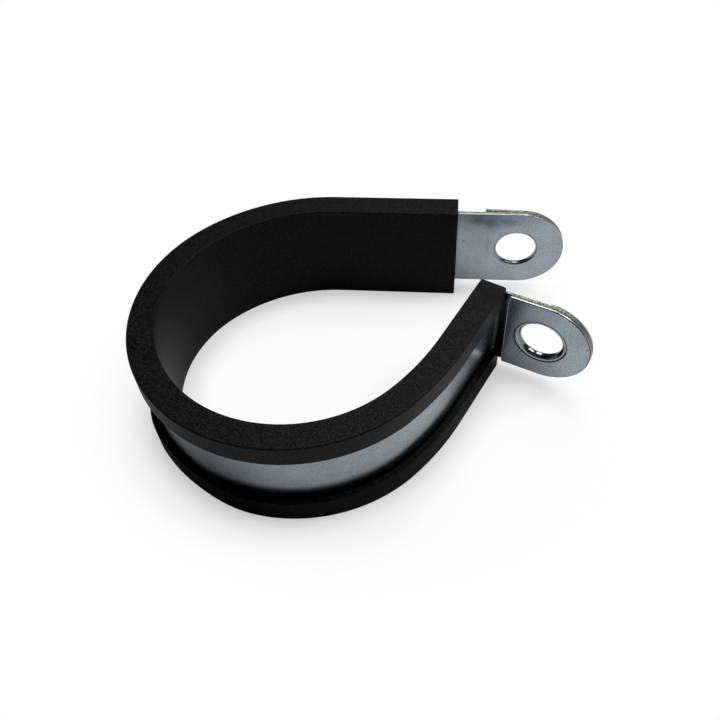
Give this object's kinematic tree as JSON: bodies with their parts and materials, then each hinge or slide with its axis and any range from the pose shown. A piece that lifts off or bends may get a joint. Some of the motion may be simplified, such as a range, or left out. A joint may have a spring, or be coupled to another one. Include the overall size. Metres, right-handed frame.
{
  "type": "cushioned clamp",
  "caption": "Open loop clamp of bent steel strip with a bolt lug at each end, a plate behind each lug, and a black rubber lining hooked over the strip's edges.",
  "frame": {"origin": "on the ring's axis, at half the strap's width", "axes": "+Z along the ring's axis, +X along the straight lug away from the ring, +Y towards the straight leg"},
  "size_m": [0.0928, 0.0679, 0.0244],
  "materials": {
    "zinc_steel": "satin zinc plating",
    "zinc_plate": "satin zinc plating",
    "black_rubber": "matt moulded rubber"
  },
  "bodies": {
    "root": {"strap": "zinc_steel", "cushion": "black_rubber", "far_plate": "zinc_plate", "near_plate": "zinc_plate"}
  },
  "joints": []
}
